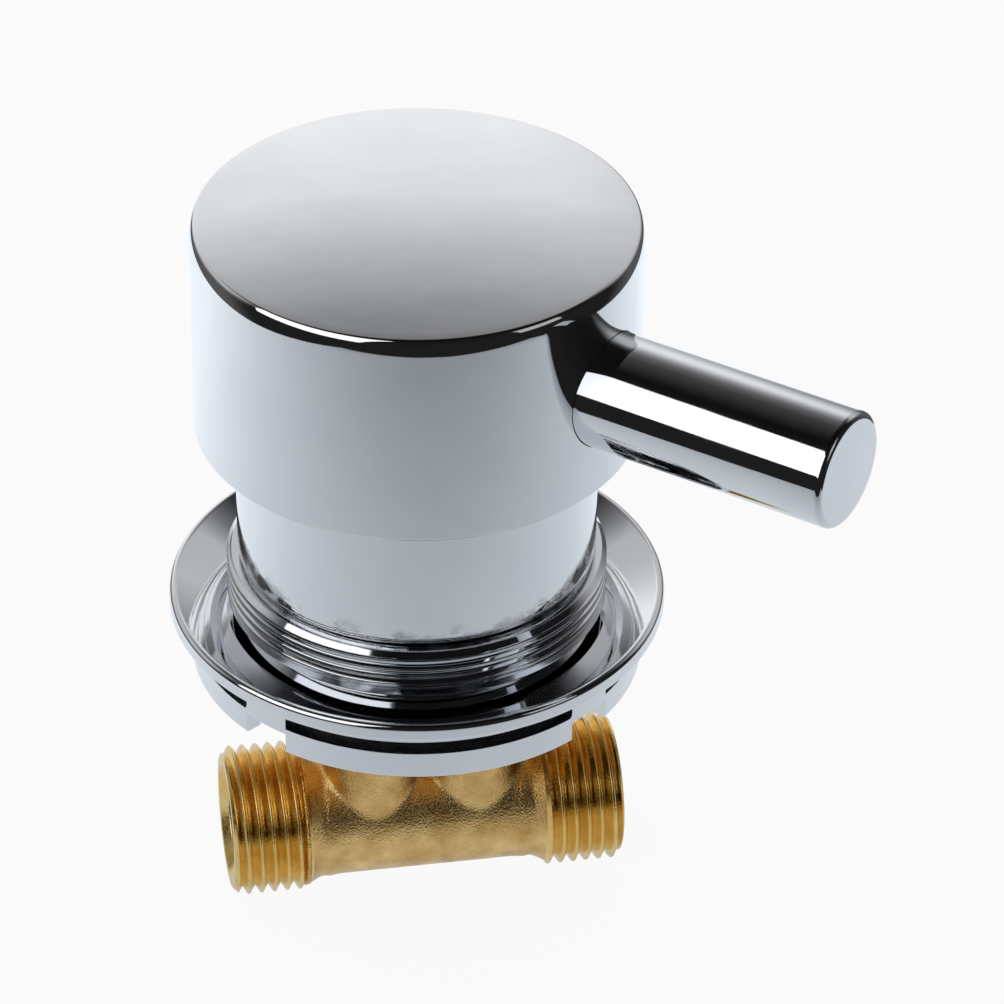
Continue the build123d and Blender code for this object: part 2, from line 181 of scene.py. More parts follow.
casting = bpy.data.objects.new("brass_casting", nodes["valve_body"].data.copy())
bpy.context.scene.collection.objects.link(casting)
take_up(casting)
bpy.ops.mesh.customdata_custom_splitnormals_clear()
bpy.ops.object.mode_set(mode="EDIT")
bpy.ops.mesh.select_all(action="SELECT")
bpy.ops.mesh.remove_doubles(threshold=COARSE_WELD * MM)
bpy.ops.mesh.select_all(action="DESELECT")
shape = bmesh.from_edit_mesh(casting.data)
for vertex in shape.verts:
    on_rim = vertex.co.xy.length > (SHOULDER_RADIUS - RIM_REACH) * MM
    vertex.select = on_rim and abs(vertex.co.z - SHOULDER_LOW * MM) < RIM_REACH * MM
bmesh.update_edit_mesh(casting.data)
bpy.ops.transform.translate(value=(0, 0, SHOULDER_CONE * MM))
bpy.ops.object.mode_set(mode="OBJECT")
stubs = []
for side in (1, -1):
    saw_off(casting, (side * FLARE_START * MM, 0, 0), (side, 0, 0))
    stub = turn_on_lathe(
        "tube_stub",
        [
            (TUBE_BORE, FLARE_START - STUB_OVERLAP, 0),
            (TUBE_RADIUS, FLARE_START - STUB_OVERLAP, 0),
            (TUBE_RADIUS, INLET_LAND - FLARE_LENGTH, FLARE_ROUND),
            (FLARE_RADIUS, INLET_LAND, 0),
            (TUBE_BORE, INLET_LAND, 0),
        ],
    )
    set_place(stub, (0, side * radians(90), 0), (0, TUBE_Y, TUBE_Z))
    stubs.append(stub)
saw_off(casting, (0, OUTLET_LAND * MM, 0), (0, 1, 0))
take_up(casting)
for stub in stubs:
    stub.select_set(True)
bpy.ops.object.join()

skin = casting.modifiers.new("sand_skin", "REMESH")
skin.mode = "VOXEL"
skin.voxel_size = CASTING_VOXEL * MM
fillets = casting.modifiers.new("pattern_fillets", "SMOOTH")
fillets.factor = FILLET_FACTOR
fillets.iterations = FILLET_PASSES
sand = bpy.data.textures.new("sand_grain", "CLOUDS")
sand.noise_scale = SAND_GRAIN * MM
sand.noise_depth = 2
grain = casting.modifiers.new("sand_grain", "DISPLACE")
grain.texture = sand
grain.texture_coords = "LOCAL"
grain.strength = SAND_DEPTH * MM
grain.mid_level = 0.5
apply_modifiers(casting)
bpy.ops.object.shade_smooth()

NOISE_FLOOR = 0.3
NOISE_CEILING = 0.7


def surface_noise():
    """Node group: noise over the surface, as a value between two limits."""
    group = bpy.data.node_groups.new("surface_noise", "ShaderNodeTree")
    for name, default in (("Scale", 1000.0), ("Detail", 4.0), ("Low", 0.0), ("High", 1.0)):
        socket = group.interface.new_socket(name, in_out="INPUT", socket_type="NodeSocketFloat")
        socket.default_value = default
    group.interface.new_socket("Value", in_out="OUTPUT", socket_type="NodeSocketFloat")
    enter = group.nodes.new("NodeGroupInput")
    leave = group.nodes.new("NodeGroupOutput")
    place = group.nodes.new("ShaderNodeTexCoord")
    noise = group.nodes.new("ShaderNodeTexNoise")
    limits = group.nodes.new("ShaderNodeMapRange")
    limits.inputs["From Min"].default_value = NOISE_FLOOR
    limits.inputs["From Max"].default_value = NOISE_CEILING
    link = group.links.new
    link(place.outputs["Object"], noise.inputs["Vector"])
    link(enter.outputs["Scale"], noise.inputs["Scale"])
    link(enter.outputs["Detail"], noise.inputs["Detail"])
    link(noise.outputs["Fac"], limits.inputs["Value"])
    link(enter.outputs["Low"], limits.inputs["To Min"])
    link(enter.outputs["High"], limits.inputs["To Max"])
    link(limits.outputs["Result"], leave.inputs["Value"])
    return group


NOISE = surface_noise()


def noise_node(material, scale, low, high, detail=4.0):
    """Place the noise group in a material with its own scale and limits."""
    node = material.node_tree.nodes.new("ShaderNodeGroup")
    node.node_tree = NOISE
    node.inputs["Scale"].default_value = scale
    node.inputs["Detail"].default_value = detail
    node.inputs["Low"].default_value = low
    node.inputs["High"].default_value = high
    return node


def new_material(name, metallic=0.0):
    """Plain material with its Principled shader."""
    material = bpy.data.materials.new(name)
    material.use_nodes = True
    shader = material.node_tree.nodes["Principled BSDF"]
    shader.inputs["Metallic"].default_value = metallic
    return material


def feed(material, output, name):
    """Lead a node's output into one of the shader's inputs."""
    shader = material.node_tree.nodes["Principled BSDF"]
    material.node_tree.links.new(output, shader.inputs[name])


def vary_colour(material, scale, first, second, detail=4.0):
    """Two colours in patches over the surface."""
    patches = noise_node(material, scale, 0.0, 1.0, detail)
    mix = material.node_tree.nodes.new("ShaderNodeMix")
    mix.data_type = "RGBA"
    mix.inputs["A"].default_value = (*first, 1)
    mix.inputs["B"].default_value = (*second, 1)
    material.node_tree.links.new(patches.outputs["Value"], mix.inputs["Factor"])
    feed(material, mix.outputs["Result"], "Base Color")


def vary_roughness(material, scale, low, high, detail=4.0):
    """Roughness that varies over the surface between two limits."""
    rough = noise_node(material, scale, low, high, detail)
    feed(material, rough.outputs["Value"], "Roughness")


def bump(material, height, depth):
    """Small relief from a height, with its depth in millimetres."""
    node = material.node_tree.nodes.new("ShaderNodeBump")
    node.inputs["Distance"].default_value = depth * MM
    material.node_tree.links.new(height, node.inputs["Height"])
    feed(material, node.outputs["Normal"], "Normal")


def vary_height(material, scale, depth, detail=4.0):
    """Even relief over the whole surface, with its depth in millimetres."""
    relief = noise_node(material, scale, 0.0, 1.0, detail)
    bump(material, relief.outputs["Value"], depth)


def dress(piece, material, slot, body, *replaced):
    """Give a new piece its material and body, and hide the nodes that it stands for; the slot is not used.
    """
    piece.data.materials.clear()
    piece.data.materials.append(material)
    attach(piece, body)
    if replaced:
        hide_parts(*replaced)


def cast_brass():
    """Sand-cast brass: golden, dull and grainy, browner in patches."""
    material = new_material("cast_brass", metallic=1.0)
    vary_colour(material, 260, (0.62, 0.36, 0.11), (0.94, 0.64, 0.26), detail=6.0)
    vary_roughness(material, 1400, 0.17, 0.3)
    vary_height(material, 3600, depth=0.05, detail=3.0)
    return material


CAST_BRASS = cast_brass()
dress(casting, CAST_BRASS, "cast_brass", "valve", "valve_body")

# Pipe threads
# Three male G1/2 ends, turned on the casting after it was cooled and cut back to clean brass.
# The thread is a rounded 55 degree V of 14 turns to the inch, with a chamfered start.

PIPE_CREST = 10.4775
PIPE_APEX = 10.6
PIPE_DEPTH = 1.28
PIPE_PITCH = 1.814
PIPE_LAND = 10.0
PIPE_CHAMFER = 1.1
PIPE_BORE = 7.0
PIPE_MOUTH = 8.15
PIPE_TAIL = 1.4
PIPE_SPARE = 0.05
PIPE_RUN_IN = 0.3
PIPE_CREST_ROUND = 0.2
PIPE_MOUTH_ROUND = 0.15
PIPE_BORE_ROUND = 0.3
THREAD_STEPS = 96
CUT_WELD = 0.005
TURNED_SMOOTH = 35


def helical_rod(name, apex, depth, crest, pitch, low, high):
    """Closed rod about Z with a V thread over its whole length, its crests rounded off at a radius."""
    blend = 0.05
    sharpness = 0.975
    samples = 24
    least = acos(sharpness) / pi
    points = []
    for sample in range(samples + 1):
        share = (acos(sharpness * cos(2 * pi * sample / samples)) / pi - least) / (1 - 2 * least)
        above = apex - depth * (1 - share) - crest
        radius = crest - blend * log(1 + exp(-above / blend))
        points.append((radius, low - 2 * pitch + pitch * sample / samples))
    rod = draw_outline(name, points, closed=False)
    bpy.ops.object.mode_set(mode="OBJECT")
    helix = rod.modifiers.new("helix", "SCREW")
    helix.axis = "Z"
    helix.screw_offset = pitch * MM
    helix.iterations = int((high - low) / pitch) + 4
    helix.steps = helix.render_steps = THREAD_STEPS
    apply_modifiers(rod)
    bpy.ops.object.mode_set(mode="EDIT")
    for level, direction in ((low, -1), (high, 1)):
        bpy.ops.mesh.select_all(action="SELECT")
        bpy.ops.mesh.remove_doubles(threshold=COARSE_WELD * MM)
        plane = {"plane_co": (0, 0, level * MM), "plane_no": (0, 0, direction)}
        bpy.ops.mesh.bisect(**plane, use_fill=True, clear_outer=True)
    bpy.ops.mesh.select_all(action="SELECT")
    bpy.ops.mesh.normals_make_consistent(inside=False)
    bpy.ops.object.mode_set(mode="OBJECT")
    return rod


def clean_mesh(piece, reach):
    """Merge points and drop slivers that lie closer together than a reach, in millimetres."""
    take_up(piece)
    bpy.ops.object.mode_set(mode="EDIT")
    bpy.ops.mesh.select_all(action="SELECT")
    bpy.ops.mesh.remove_doubles(threshold=reach * MM)
    bpy.ops.mesh.dissolve_degenerate(threshold=reach * MM)
    bpy.ops.mesh.select_all(action="SELECT")
    bpy.ops.mesh.normals_make_consistent(inside=False)
    bpy.ops.object.mode_set(mode="OBJECT")


def combine(piece, tool, operation):
    """Cut, join or trim a piece with a tool, which is used up."""
    step = piece.modifiers.new(operation.lower(), "BOOLEAN")
    step.operation = operation
    step.solver = "EXACT"
    step.object = tool
    apply_modifiers(piece)
    bpy.data.objects.remove(tool)
    clean_mesh(piece, CUT_WELD)


def pipe_end(name, start, turn, place):
    """One threaded pipe end, turned about Z with its thread starting at an angle, and set on its stub."""
    end = turn_on_lathe(
        name,
        [
            (PIPE_BORE, -PIPE_TAIL, 0),
            (PIPE_APEX - PIPE_DEPTH, -PIPE_TAIL, 0),
            (PIPE_CREST + PIPE_SPARE, -PIPE_RUN_IN, 0),
            (PIPE_CREST + PIPE_SPARE, PIPE_LAND - PIPE_CHAMFER, PIPE_CREST_ROUND),
            (PIPE_CREST - PIPE_CHAMFER, PIPE_LAND, PIPE_CREST_ROUND),
            (PIPE_MOUTH, PIPE_LAND, PIPE_MOUTH_ROUND),
            (PIPE_BORE, PIPE_LAND - (PIPE_MOUTH - PIPE_BORE), PIPE_BORE_ROUND),
        ],
    )
    low = -2 * PIPE_TAIL
    high = PIPE_LAND + PIPE_TAIL
    rod = helical_rod("thread_rod", PIPE_APEX, PIPE_DEPTH, PIPE_CREST, PIPE_PITCH, low, high)
    combine(end, rod, "INTERSECT")
    bpy.ops.object.shade_smooth_by_angle(angle=radians(TURNED_SMOOTH))
    set_place(end, (0, 0, radians(start)), (0, 0, 0))
    set_place(end, turn, place)
    return end


def turned_brass():
    """Turned brass: clean, bright and golden, with fine tool marks."""
    material = new_material("turned_brass", metallic=1.0)
    vary_colour(material, 300, (0.78, 0.50, 0.14), (0.90, 0.66, 0.27))
    vary_roughness(material, 900, 0.16, 0.3)
    vary_height(material, 3000, depth=0.01)
    return material


TURNED_BRASS = turned_brass()
PIPE_ENDS = {
    "inlet_thread_left": (94, (0, radians(-90), 0), (-INLET_LAND, TUBE_Y, TUBE_Z)),
    "inlet_thread_right": (0, (0, radians(90), 0), (INLET_LAND, TUBE_Y, TUBE_Z)),
    "outlet_thread": (0, (radians(-90), 0, 0), (0, OUTLET_LAND, TUBE_Z)),
}
for name, (start, turn, place) in PIPE_ENDS.items():
    dress(pipe_end(name, start, turn, place), TURNED_BRASS, "turned_brass", "valve", "valve_body")

# Rubber seals
# Black moulded rubber: the panel gasket under the flange ring and the seals inside the valve.
# They are laid in dry and held by the pieces screwed down on them.


def black_rubber():
    """Black rubber, dull, with a slightly dusty skin."""
    material = new_material("black_rubber")
    vary_colour(material, 700, (0.008, 0.008, 0.009), (0.022, 0.021, 0.02))
    vary_roughness(material, 1500, 0.55, 0.75)
    vary_height(material, 2500, depth=0.02)
    return material


def paint_nodes(names, material):
    """Give CAD nodes a material."""
    for name in names:
        nodes[name].data.materials.clear()
        nodes[name].data.materials.append(material)


BLACK_RUBBER = black_rubber()
paint_nodes(("panel_gasket", "collar_seal", "disc_seal", "port_seals"), BLACK_RUBBER)

# Flange ring
# A chromed casting that clamps the panel: a dished plate with a stout edge, over a wall of four lugs.
# A long slot with round ends is cut through the wall above each lug.

RING_EDGE = 34.0
RING_TOP = 11.06
RING_EDGE_LOW = 8.06
RING_LIP = 26.15
RING_LIP_TOP = 6.98
RING_BORE = 25.3
RING_HUB = 27.2
RING_HUB_LOW = 3.0
RING_ROOF = 7.46
LUG_OUTER = 31.0
LUG_INNER = 28.6
LUG_COUNT = 4
LUG_FIRST = -95.3
LUG_GAP = 13.0
LUG_GAP_TOP = 3.06
SLOT_LOW = 3.86
SLOT_HIGH = 5.78
SLOT_DEPTH = 1.0
SLOT_END_SHARE = 0.49
SLOT_END_STEPS = 8
GAP_LOW = -1.0
ROOF_SLOPE = 0.6
RING_HUB_ROUND = 0.2
LUG_INNER_ROUND = 0.2
LUG_OUTER_ROUND = 0.25
RING_EDGE_ROUND = 0.5
RING_TOP_ROUND = 0.75
RING_LIP_ROUND = 0.25
RING_EASE = 0.2
EASE_ANGLE = 40
EASE_SMOOTH = 32
EASE_WELD = 0.02
EASED_WELD = 0.002
CHROME_HAZE = 60
CHROME_DARK = (0.80, 0.82, 0.85)
CHROME_LIGHT = (0.86, 0.87, 0.89)


def sector_tool(name, low, high, start, width, end_round):
    """Curved bar through the lug wall between two levels and two angles, with rounded ends."""
    inner = LUG_INNER - SLOT_DEPTH
    outer = LUG_OUTER + SLOT_DEPTH
    tool = turn_on_lathe(name, [(inner, low, 0), (outer, low, 0), (outer, high, 0), (inner, high, 0)])
    take_up(tool)
    bpy.ops.object.mode_set(mode="EDIT")
    bpy.ops.mesh.select_mode(type="EDGE")
    for angle, side in ((start, -1), (start + width, 1)):
        across = Vector((-sin(radians(angle)), cos(radians(angle)), 0)) * side
        bpy.ops.mesh.select_all(action="SELECT")
        bpy.ops.mesh.bisect(plane_co=(0, 0, 0), plane_no=across, use_fill=True, clear_outer=True)
        shape = bmesh.from_edit_mesh(tool.data)
        bpy.ops.mesh.select_all(action="DESELECT")
        for edge in shape.edges:
            one, two = (vertex.co for vertex in edge.verts)
            on_end = abs(one.dot(across)) + abs(two.dot(across)) < COARSE_WELD * MM
            edge.select_set(on_end and abs(one.z - two.z) < COARSE_WELD * MM)
        bmesh.update_edit_mesh(tool.data)
        if end_round:
            bpy.ops.mesh.bevel(offset=end_round * MM, segments=SLOT_END_STEPS, affect="EDGES")
    bpy.ops.mesh.select_mode(type="VERT")
    bpy.ops.mesh.select_all(action="SELECT")
    bpy.ops.mesh.normals_make_consistent(inside=False)
    bpy.ops.object.mode_set(mode="OBJECT")
    return tool


def ease_edges(piece, width, segments=3):
    """Take the sharpness off cut edges and shade the rest smoothly."""
    clean_mesh(piece, EASE_WELD)
    bpy.ops.object.shade_smooth_by_angle(angle=radians(EASE_SMOOTH))
    bevel = piece.modifiers.new("eased_edges", "BEVEL")
    bevel.width = width * MM
    bevel.segments = segments
    bevel.limit_method = "ANGLE"
    bevel.angle_limit = radians(EASE_ANGLE)
    apply_modifiers(piece)
    clean_mesh(piece, EASED_WELD)
    bpy.ops.object.shade_smooth_by_angle(angle=radians(EASE_SMOOTH))


def polished_chrome():
    """Polished chrome: a bright mirror with faint haze and a slow ripple of the casting below."""
    material = new_material("polished_chrome", metallic=1.0)
    vary_colour(material, CHROME_HAZE, CHROME_DARK, CHROME_LIGHT, detail=6.0)
    vary_roughness(material, 140, 0.03, 0.075, detail=6.0)
    vary_height(material, 90, depth=0.02, detail=2.0)
    return material


POLISHED_CHROME = polished_chrome()
ring = turn_on_lathe(
    "chrome_flange_ring",
    [
        (RING_BORE, RING_HUB_LOW, RING_HUB_ROUND),
        (RING_HUB, RING_HUB_LOW, RING_HUB_ROUND),
        (RING_HUB, RING_ROOF - ROOF_SLOPE, 0),
        (LUG_INNER, RING_ROOF, 0),
        (LUG_INNER, 0, LUG_INNER_ROUND),
        (LUG_OUTER, 0, LUG_OUTER_ROUND),
        (LUG_OUTER, RING_EDGE_LOW, 0),
        (RING_EDGE, RING_EDGE_LOW, RING_EDGE_ROUND),
        (RING_EDGE, RING_TOP, RING_TOP_ROUND),
        (RING_LIP, RING_LIP_TOP, RING_LIP_ROUND),
        (RING_BORE, RING_LIP_TOP - (RING_LIP - RING_BORE), 0),
    ],
)
lug_pitch = 360 / LUG_COUNT
for index in range(LUG_COUNT):
    gap_start = LUG_FIRST + lug_pitch * (index + 0.5) - LUG_GAP / 2
    combine(ring, sector_tool("gap_tool", GAP_LOW, LUG_GAP_TOP, gap_start, LUG_GAP, 0), "DIFFERENCE")
    slot_start = gap_start + LUG_GAP
    slot_round = (SLOT_HIGH - SLOT_LOW) * SLOT_END_SHARE
    slot = sector_tool("slot_tool", SLOT_LOW, SLOT_HIGH, slot_start, lug_pitch - LUG_GAP, slot_round)
    combine(ring, slot, "DIFFERENCE")
ease_edges(ring, RING_EASE)
dress(ring, POLISHED_CHROME, "polished_chrome", "valve", "flange_ring")

# Threaded collar
# A chromed brass collar screwed over the chamber, with a fine outside thread for a clamping nut.
# Below the thread it has a plain band and is relieved, and a spigot above carries the neck sleeve.

COLLAR_CREST = 26.0
COLLAR_SPARE = 0.05
COLLAR_APEX = 26.6
COLLAR_V_DEPTH = 1.2
COLLAR_PITCH = 1.5
COLLAR_LOW = 9.04
COLLAR_BAND_TOP = 11.04
COLLAR_TOP = 16.5
COLLAR_CHAMFER = 0.7
COLLAR_RELIEF = 24.7
COLLAR_BORE = 22.7
COLLAR_FOOT = 1.0
COLLAR_SEAL_BORE = 23.7
COLLAR_SEAL_TOP = 3.3
COLLAR_LEDGE = 14.2
SPIGOT_OUTER = 22.25
SPIGOT_INNER = 20.95
SPIGOT_TOP = 23.5
COLLAR_ROUND = 0.15
COLLAR_BAND_ROUND = 0.1
COLLAR_RIM_ROUND = 0.2
THREAD_WALL = 0.5
THREAD_BURIED = 0.4
SPIGOT_BURIED = 0.1

thread_inner = COLLAR_RELIEF - THREAD_WALL
thread_outer = COLLAR_CREST + COLLAR_SPARE
thread_low = COLLAR_BAND_TOP - THREAD_BURIED
band_outer = COLLAR_CREST - COLLAR_SPARE
spigot_low = COLLAR_TOP - SPIGOT_BURIED

collar = turn_on_lathe(
    "chrome_collar",
    [
        (thread_inner, thread_low, 0),
        (thread_outer, thread_low, 0),
        (thread_outer, COLLAR_TOP - COLLAR_CHAMFER, COLLAR_ROUND),
        (COLLAR_CREST - COLLAR_CHAMFER, COLLAR_TOP, COLLAR_ROUND),
        (thread_inner, COLLAR_TOP, 0),
    ],
)
rod_low = COLLAR_BAND_TOP - COLLAR_PITCH
rod_high = COLLAR_TOP + COLLAR_PITCH
collar_rod = helical_rod("rod", COLLAR_APEX, COLLAR_V_DEPTH, COLLAR_CREST, COLLAR_PITCH, rod_low, rod_high)
combine(collar, collar_rod, "INTERSECT")
skirt = turn_on_lathe(
    "collar_skirt",
    [
        (COLLAR_SEAL_BORE, COLLAR_FOOT, 0),
        (COLLAR_RELIEF, COLLAR_FOOT, COLLAR_RIM_ROUND),
        (COLLAR_RELIEF, COLLAR_LOW, 0),
        (COLLAR_CREST - COLLAR_CHAMFER, COLLAR_LOW, COLLAR_ROUND),
        (band_outer, COLLAR_LOW + COLLAR_CHAMFER, COLLAR_ROUND),
        (band_outer, COLLAR_BAND_TOP, COLLAR_BAND_ROUND),
        (COLLAR_RELIEF, COLLAR_BAND_TOP, 0),
        (COLLAR_RELIEF, spigot_low, 0),
        (SPIGOT_OUTER, spigot_low, 0),
        (SPIGOT_OUTER, SPIGOT_TOP, COLLAR_RIM_ROUND),
        (SPIGOT_INNER, SPIGOT_TOP, COLLAR_RIM_ROUND),
        (SPIGOT_INNER, COLLAR_LEDGE, 0),
        (COLLAR_BORE, COLLAR_LEDGE, 0),
        (COLLAR_BORE, COLLAR_SEAL_TOP, 0),
        (COLLAR_SEAL_BORE, COLLAR_SEAL_TOP, 0),
    ],
)
combine(collar, skirt, "UNION")
bpy.ops.object.shade_smooth_by_angle(angle=radians(TURNED_SMOOTH))
dress(collar, POLISHED_CHROME, "polished_chrome", "valve", "threaded_collar")

# Neck sleeve
# A drawn chromed sleeve pressed over the collar's spigot, with a rounded foot.
# The plating is thin and pitted towards the foot, where the polish did not reach.

SLEEVE_OUTER = 24.5
SLEEVE_INNER = 22.3
SLEEVE_LOW = 16.5
SLEEVE_TOP = 38.6
SLEEVE_ROUND = 1.4
SLEEVE_LIP = 16.0
SLEEVE_LIP_LOW = 36.4
SLEEVE_LIP_ROUND = 0.3
PITTED_TOP = 23.0
PIT_DEPTH = 0.03
POLISHED_ROUGHNESS = 0.05
PITTED_ROUGHNESS = 0.22

sleeve = turn_on_lathe(
    "chrome_sleeve",
    [
        (SLEEVE_INNER, SLEEVE_LOW, 0),
        (SLEEVE_OUTER, SLEEVE_LOW, SLEEVE_ROUND),
        (SLEEVE_OUTER, SLEEVE_TOP, SLEEVE_ROUND),
        (SLEEVE_LIP, SLEEVE_TOP, SLEEVE_LIP_ROUND),
        (SLEEVE_LIP, SLEEVE_LIP_LOW, SLEEVE_LIP_ROUND),
        (SLEEVE_INNER, SLEEVE_LIP_LOW, 0),
    ],
)
take_up(sleeve)
bpy.ops.object.shade_smooth_by_angle(angle=radians(TURNED_SMOOTH))


def pitted_chrome():
    """Chrome with pits and haze that grow towards the sleeve's foot."""
    material = new_material("pitted_chrome", metallic=1.0)
    vary_colour(material, CHROME_HAZE, CHROME_DARK, CHROME_LIGHT, detail=6.0)
    tree = material.node_tree
    place = tree.nodes.new("ShaderNodeTexCoord")
    axes = tree.nodes.new("ShaderNodeSeparateXYZ")
    reach = tree.nodes.new("ShaderNodeMapRange")
    reach.inputs["From Min"].default_value = PITTED_TOP * MM
    reach.inputs["From Max"].default_value = SLEEVE_LOW * MM
    tree.links.new(place.outputs["Object"], axes.inputs["Vector"])
    tree.links.new(axes.outputs["Z"], reach.inputs["Value"])
    blotches = noise_node(material, 350, -0.6, 1.4)
    worn = tree.nodes.new("ShaderNodeMath")
    worn.operation = "MULTIPLY"
    worn.use_clamp = True
    tree.links.new(reach.outputs["Result"], worn.inputs[0])
    tree.links.new(blotches.outputs["Value"], worn.inputs[1])
    rough = tree.nodes.new("ShaderNodeMapRange")
    rough.inputs["To Min"].default_value = POLISHED_ROUGHNESS
    rough.inputs["To Max"].default_value = PITTED_ROUGHNESS
    tree.links.new(worn.outputs["Value"], rough.inputs["Value"])
    feed(material, rough.outputs["Result"], "Roughness")
    pits = noise_node(material, 3200, 0.0, 1.0)
    depth = tree.nodes.new("ShaderNodeMath")
    depth.operation = "MULTIPLY"
    tree.links.new(pits.outputs["Value"], depth.inputs[0])
    tree.links.new(worn.outputs["Value"], depth.inputs[1])
    bump(material, depth.outputs["Value"], PIT_DEPTH)
    return material


dress(sleeve, pitted_chrome(), "polished_chrome", "valve", "neck_sleeve")

# Ceramic cartridge
# The works of the valve, closed in by the collar: plastic shell, base, rotor and carrier, two ceramic
# discs, and the brass ring nut that holds them down. Moulded, sintered and turned pieces, all bare.


def moulded_plastic(name, dark, light):
    """Moulded plastic with a faint flow pattern and a fine matt skin."""
    material = new_material(name)
    vary_colour(material, 120, dark, light)
    vary_roughness(material, 900, 0.35, 0.5)
    vary_height(material, 2400, depth=0.01)
    return material


WHITE_PLASTIC = moulded_plastic("white_plastic", (0.70, 0.69, 0.65), (0.80, 0.79, 0.76))
GREY_PLASTIC = moulded_plastic("grey_plastic", (0.20, 0.21, 0.22), (0.28, 0.29, 0.30))
PALE_CERAMIC = moulded_plastic("pale_ceramic", (0.78, 0.77, 0.73), (0.86, 0.85, 0.82))
paint_nodes(("cartridge_base", "cartridge_housing", "disc_carrier", "glide_ring"), WHITE_PLASTIC)
paint_nodes(("rotor", "limit_ring", "index_plug"), GREY_PLASTIC)
paint_nodes(("fixed_disc", "moving_disc"), PALE_CERAMIC)
paint_nodes(("cartridge_nut", "stem"), TURNED_BRASS)

# Handle cap
# A hollow chromed casting that sits over the neck on the stem's square, with a shallow domed top.
# The lever is drawn against a seat bored in its wall, and a plug covers the screw opposite.

CAP_RADIUS = 30.0
CAP_LOW = 37.6
CAP_TOP = 68.06
CAP_EDGE_WIDE = 0.8
CAP_EDGE_TALL = 2.3
CAP_DOME = 1.5
CAP_INNER = 26.6
CAP_ROOF = 63.66
CAP_INNER_ROUND = 3.0
HUB_RADIUS = 8.5
HUB_LOW = 41.0
BOSS_RADIUS = 8.3
LEVER_DIRECTION = -41.9
LEVER_Z = 52.1
LEVER_RADIUS = 7.88
LEVER_SEAT = 27.5
LEVER_REACH = 65.2
LEVER_GAP = 0.1
STUD_BORE = 4.1
STUD_END = 14.3
PLUG_BORE = 3.05
PLUG_Z = 44.0
SOCKET_HALF = 3.6
SOCKET_TOP = 47.2
SOCKET_SPARE = 2.0
GRUB_BORE = 2.6
BOSS_START = 1.0
CAP_OVERLAP = 1.0
BORE_SPARE = 3.0
CAP_FOOT_ROUND = 0.3
CAP_EDGE_SUPPORT = 0.12
CAP_EASE = 0.15
CAP_EASE_STEPS = 2
DOME_STEPS = 24
EDGE_STEPS = 16


def bar_tool(name, radius, start, stop, height, turn):
    """Round bar that points along the lever, turned by an angle about the handle's axis."""
    half = (stop - start) / 2
    corners = [(0, half, 0), (radius, half, 0), (radius, -half, 0), (0, -half, 0)]
    tool = turn_on_lathe(name, corners, closed=False)
    angle = radians(LEVER_DIRECTION + turn)
    middle = (start + stop) / 2
    set_place(tool, (0, radians(90), angle), (middle * cos(angle), middle * sin(angle), height))
    return tool


rim = CAP_RADIUS - CAP_EDGE_WIDE
dome_radius = (rim**2 + CAP_DOME**2) / (2 * CAP_DOME)
dome = []
for step in range(1, DOME_STEPS + 1):
    radius = rim * (1 - step / DOME_STEPS)
    dome.append((radius, CAP_TOP + CAP_DOME - dome_radius + (dome_radius**2 - radius**2) ** 0.5, 0))
edge_round = []
for step in range(EDGE_STEPS + 1):
    angle = pi / 2 * step / EDGE_STEPS
    radius = rim + CAP_EDGE_WIDE * cos(angle)
    edge_round.append((radius, CAP_TOP - CAP_EDGE_TALL * (1 - sin(angle)), 0))
cap = turn_on_lathe(
    "chrome_cap",
    [
        (0, CAP_ROOF, 0),
        (CAP_INNER, CAP_ROOF, CAP_INNER_ROUND),
        (CAP_INNER, CAP_LOW, CAP_FOOT_ROUND),
        (CAP_RADIUS, CAP_LOW, CAP_FOOT_ROUND),
        (CAP_RADIUS, CAP_TOP - CAP_EDGE_TALL - CAP_EDGE_SUPPORT, 0),
        *edge_round,
        *dome,
    ],
    closed=False,
)
hub = turn_on_lathe(
    "cap_hub",
    [
        (0, HUB_LOW, 0),
        (HUB_RADIUS, HUB_LOW, CAP_FOOT_ROUND),
        (HUB_RADIUS, CAP_ROOF + CAP_OVERLAP, 0),
        (0, CAP_ROOF + CAP_OVERLAP, 0),
    ],
    closed=False,
)
combine(cap, hub, "UNION")
boss = bar_tool("lever_boss", BOSS_RADIUS, BOSS_START, CAP_INNER + CAP_OVERLAP, LEVER_Z, 0)
combine(cap, boss, "UNION")
outside = CAP_RADIUS + BORE_SPARE
for name, bore, start, stop, height, turn in (
    ("lever_bore", LEVER_RADIUS + LEVER_GAP, LEVER_SEAT, outside, LEVER_Z, 0),
    ("stud_bore", STUD_BORE, STUD_END, CAP_RADIUS, LEVER_Z, 0),
    ("plug_bore", PLUG_BORE, CAP_INNER - BORE_SPARE, outside, PLUG_Z, 180),
    ("grub_bore", GRUB_BORE, 0, HUB_RADIUS + CAP_OVERLAP, PLUG_Z, 180),
):
    combine(cap, bar_tool(name, bore, start, stop, height, turn), "DIFFERENCE")
bpy.ops.object.select_all(action="DESELECT")
bpy.ops.mesh.primitive_cube_add(size=1)
socket = bpy.context.object
socket.scale = Vector((2 * SOCKET_HALF, 2 * SOCKET_HALF, SOCKET_TOP - HUB_LOW + SOCKET_SPARE)) * MM
set_place(socket, (0, 0, radians(LEVER_DIRECTION)), (0, 0, (SOCKET_TOP + HUB_LOW - SOCKET_SPARE) / 2))
combine(cap, socket, "DIFFERENCE")
ease_edges(cap, CAP_EASE, CAP_EASE_STEPS)
dress(cap, POLISHED_CHROME, "polished_chrome", "handle", "handle_cap")

# Lever
# A solid turned bar, chromed, with a rounded end, held to the cap by a threaded steel stud.
# The stud, the grub screw and the pivot pin are plain drawn steel.

LEVER_END_ROUND = 0.8
LEVER_SEAT_ROUND = 0.2
STUD_HOLE_END = 39.7

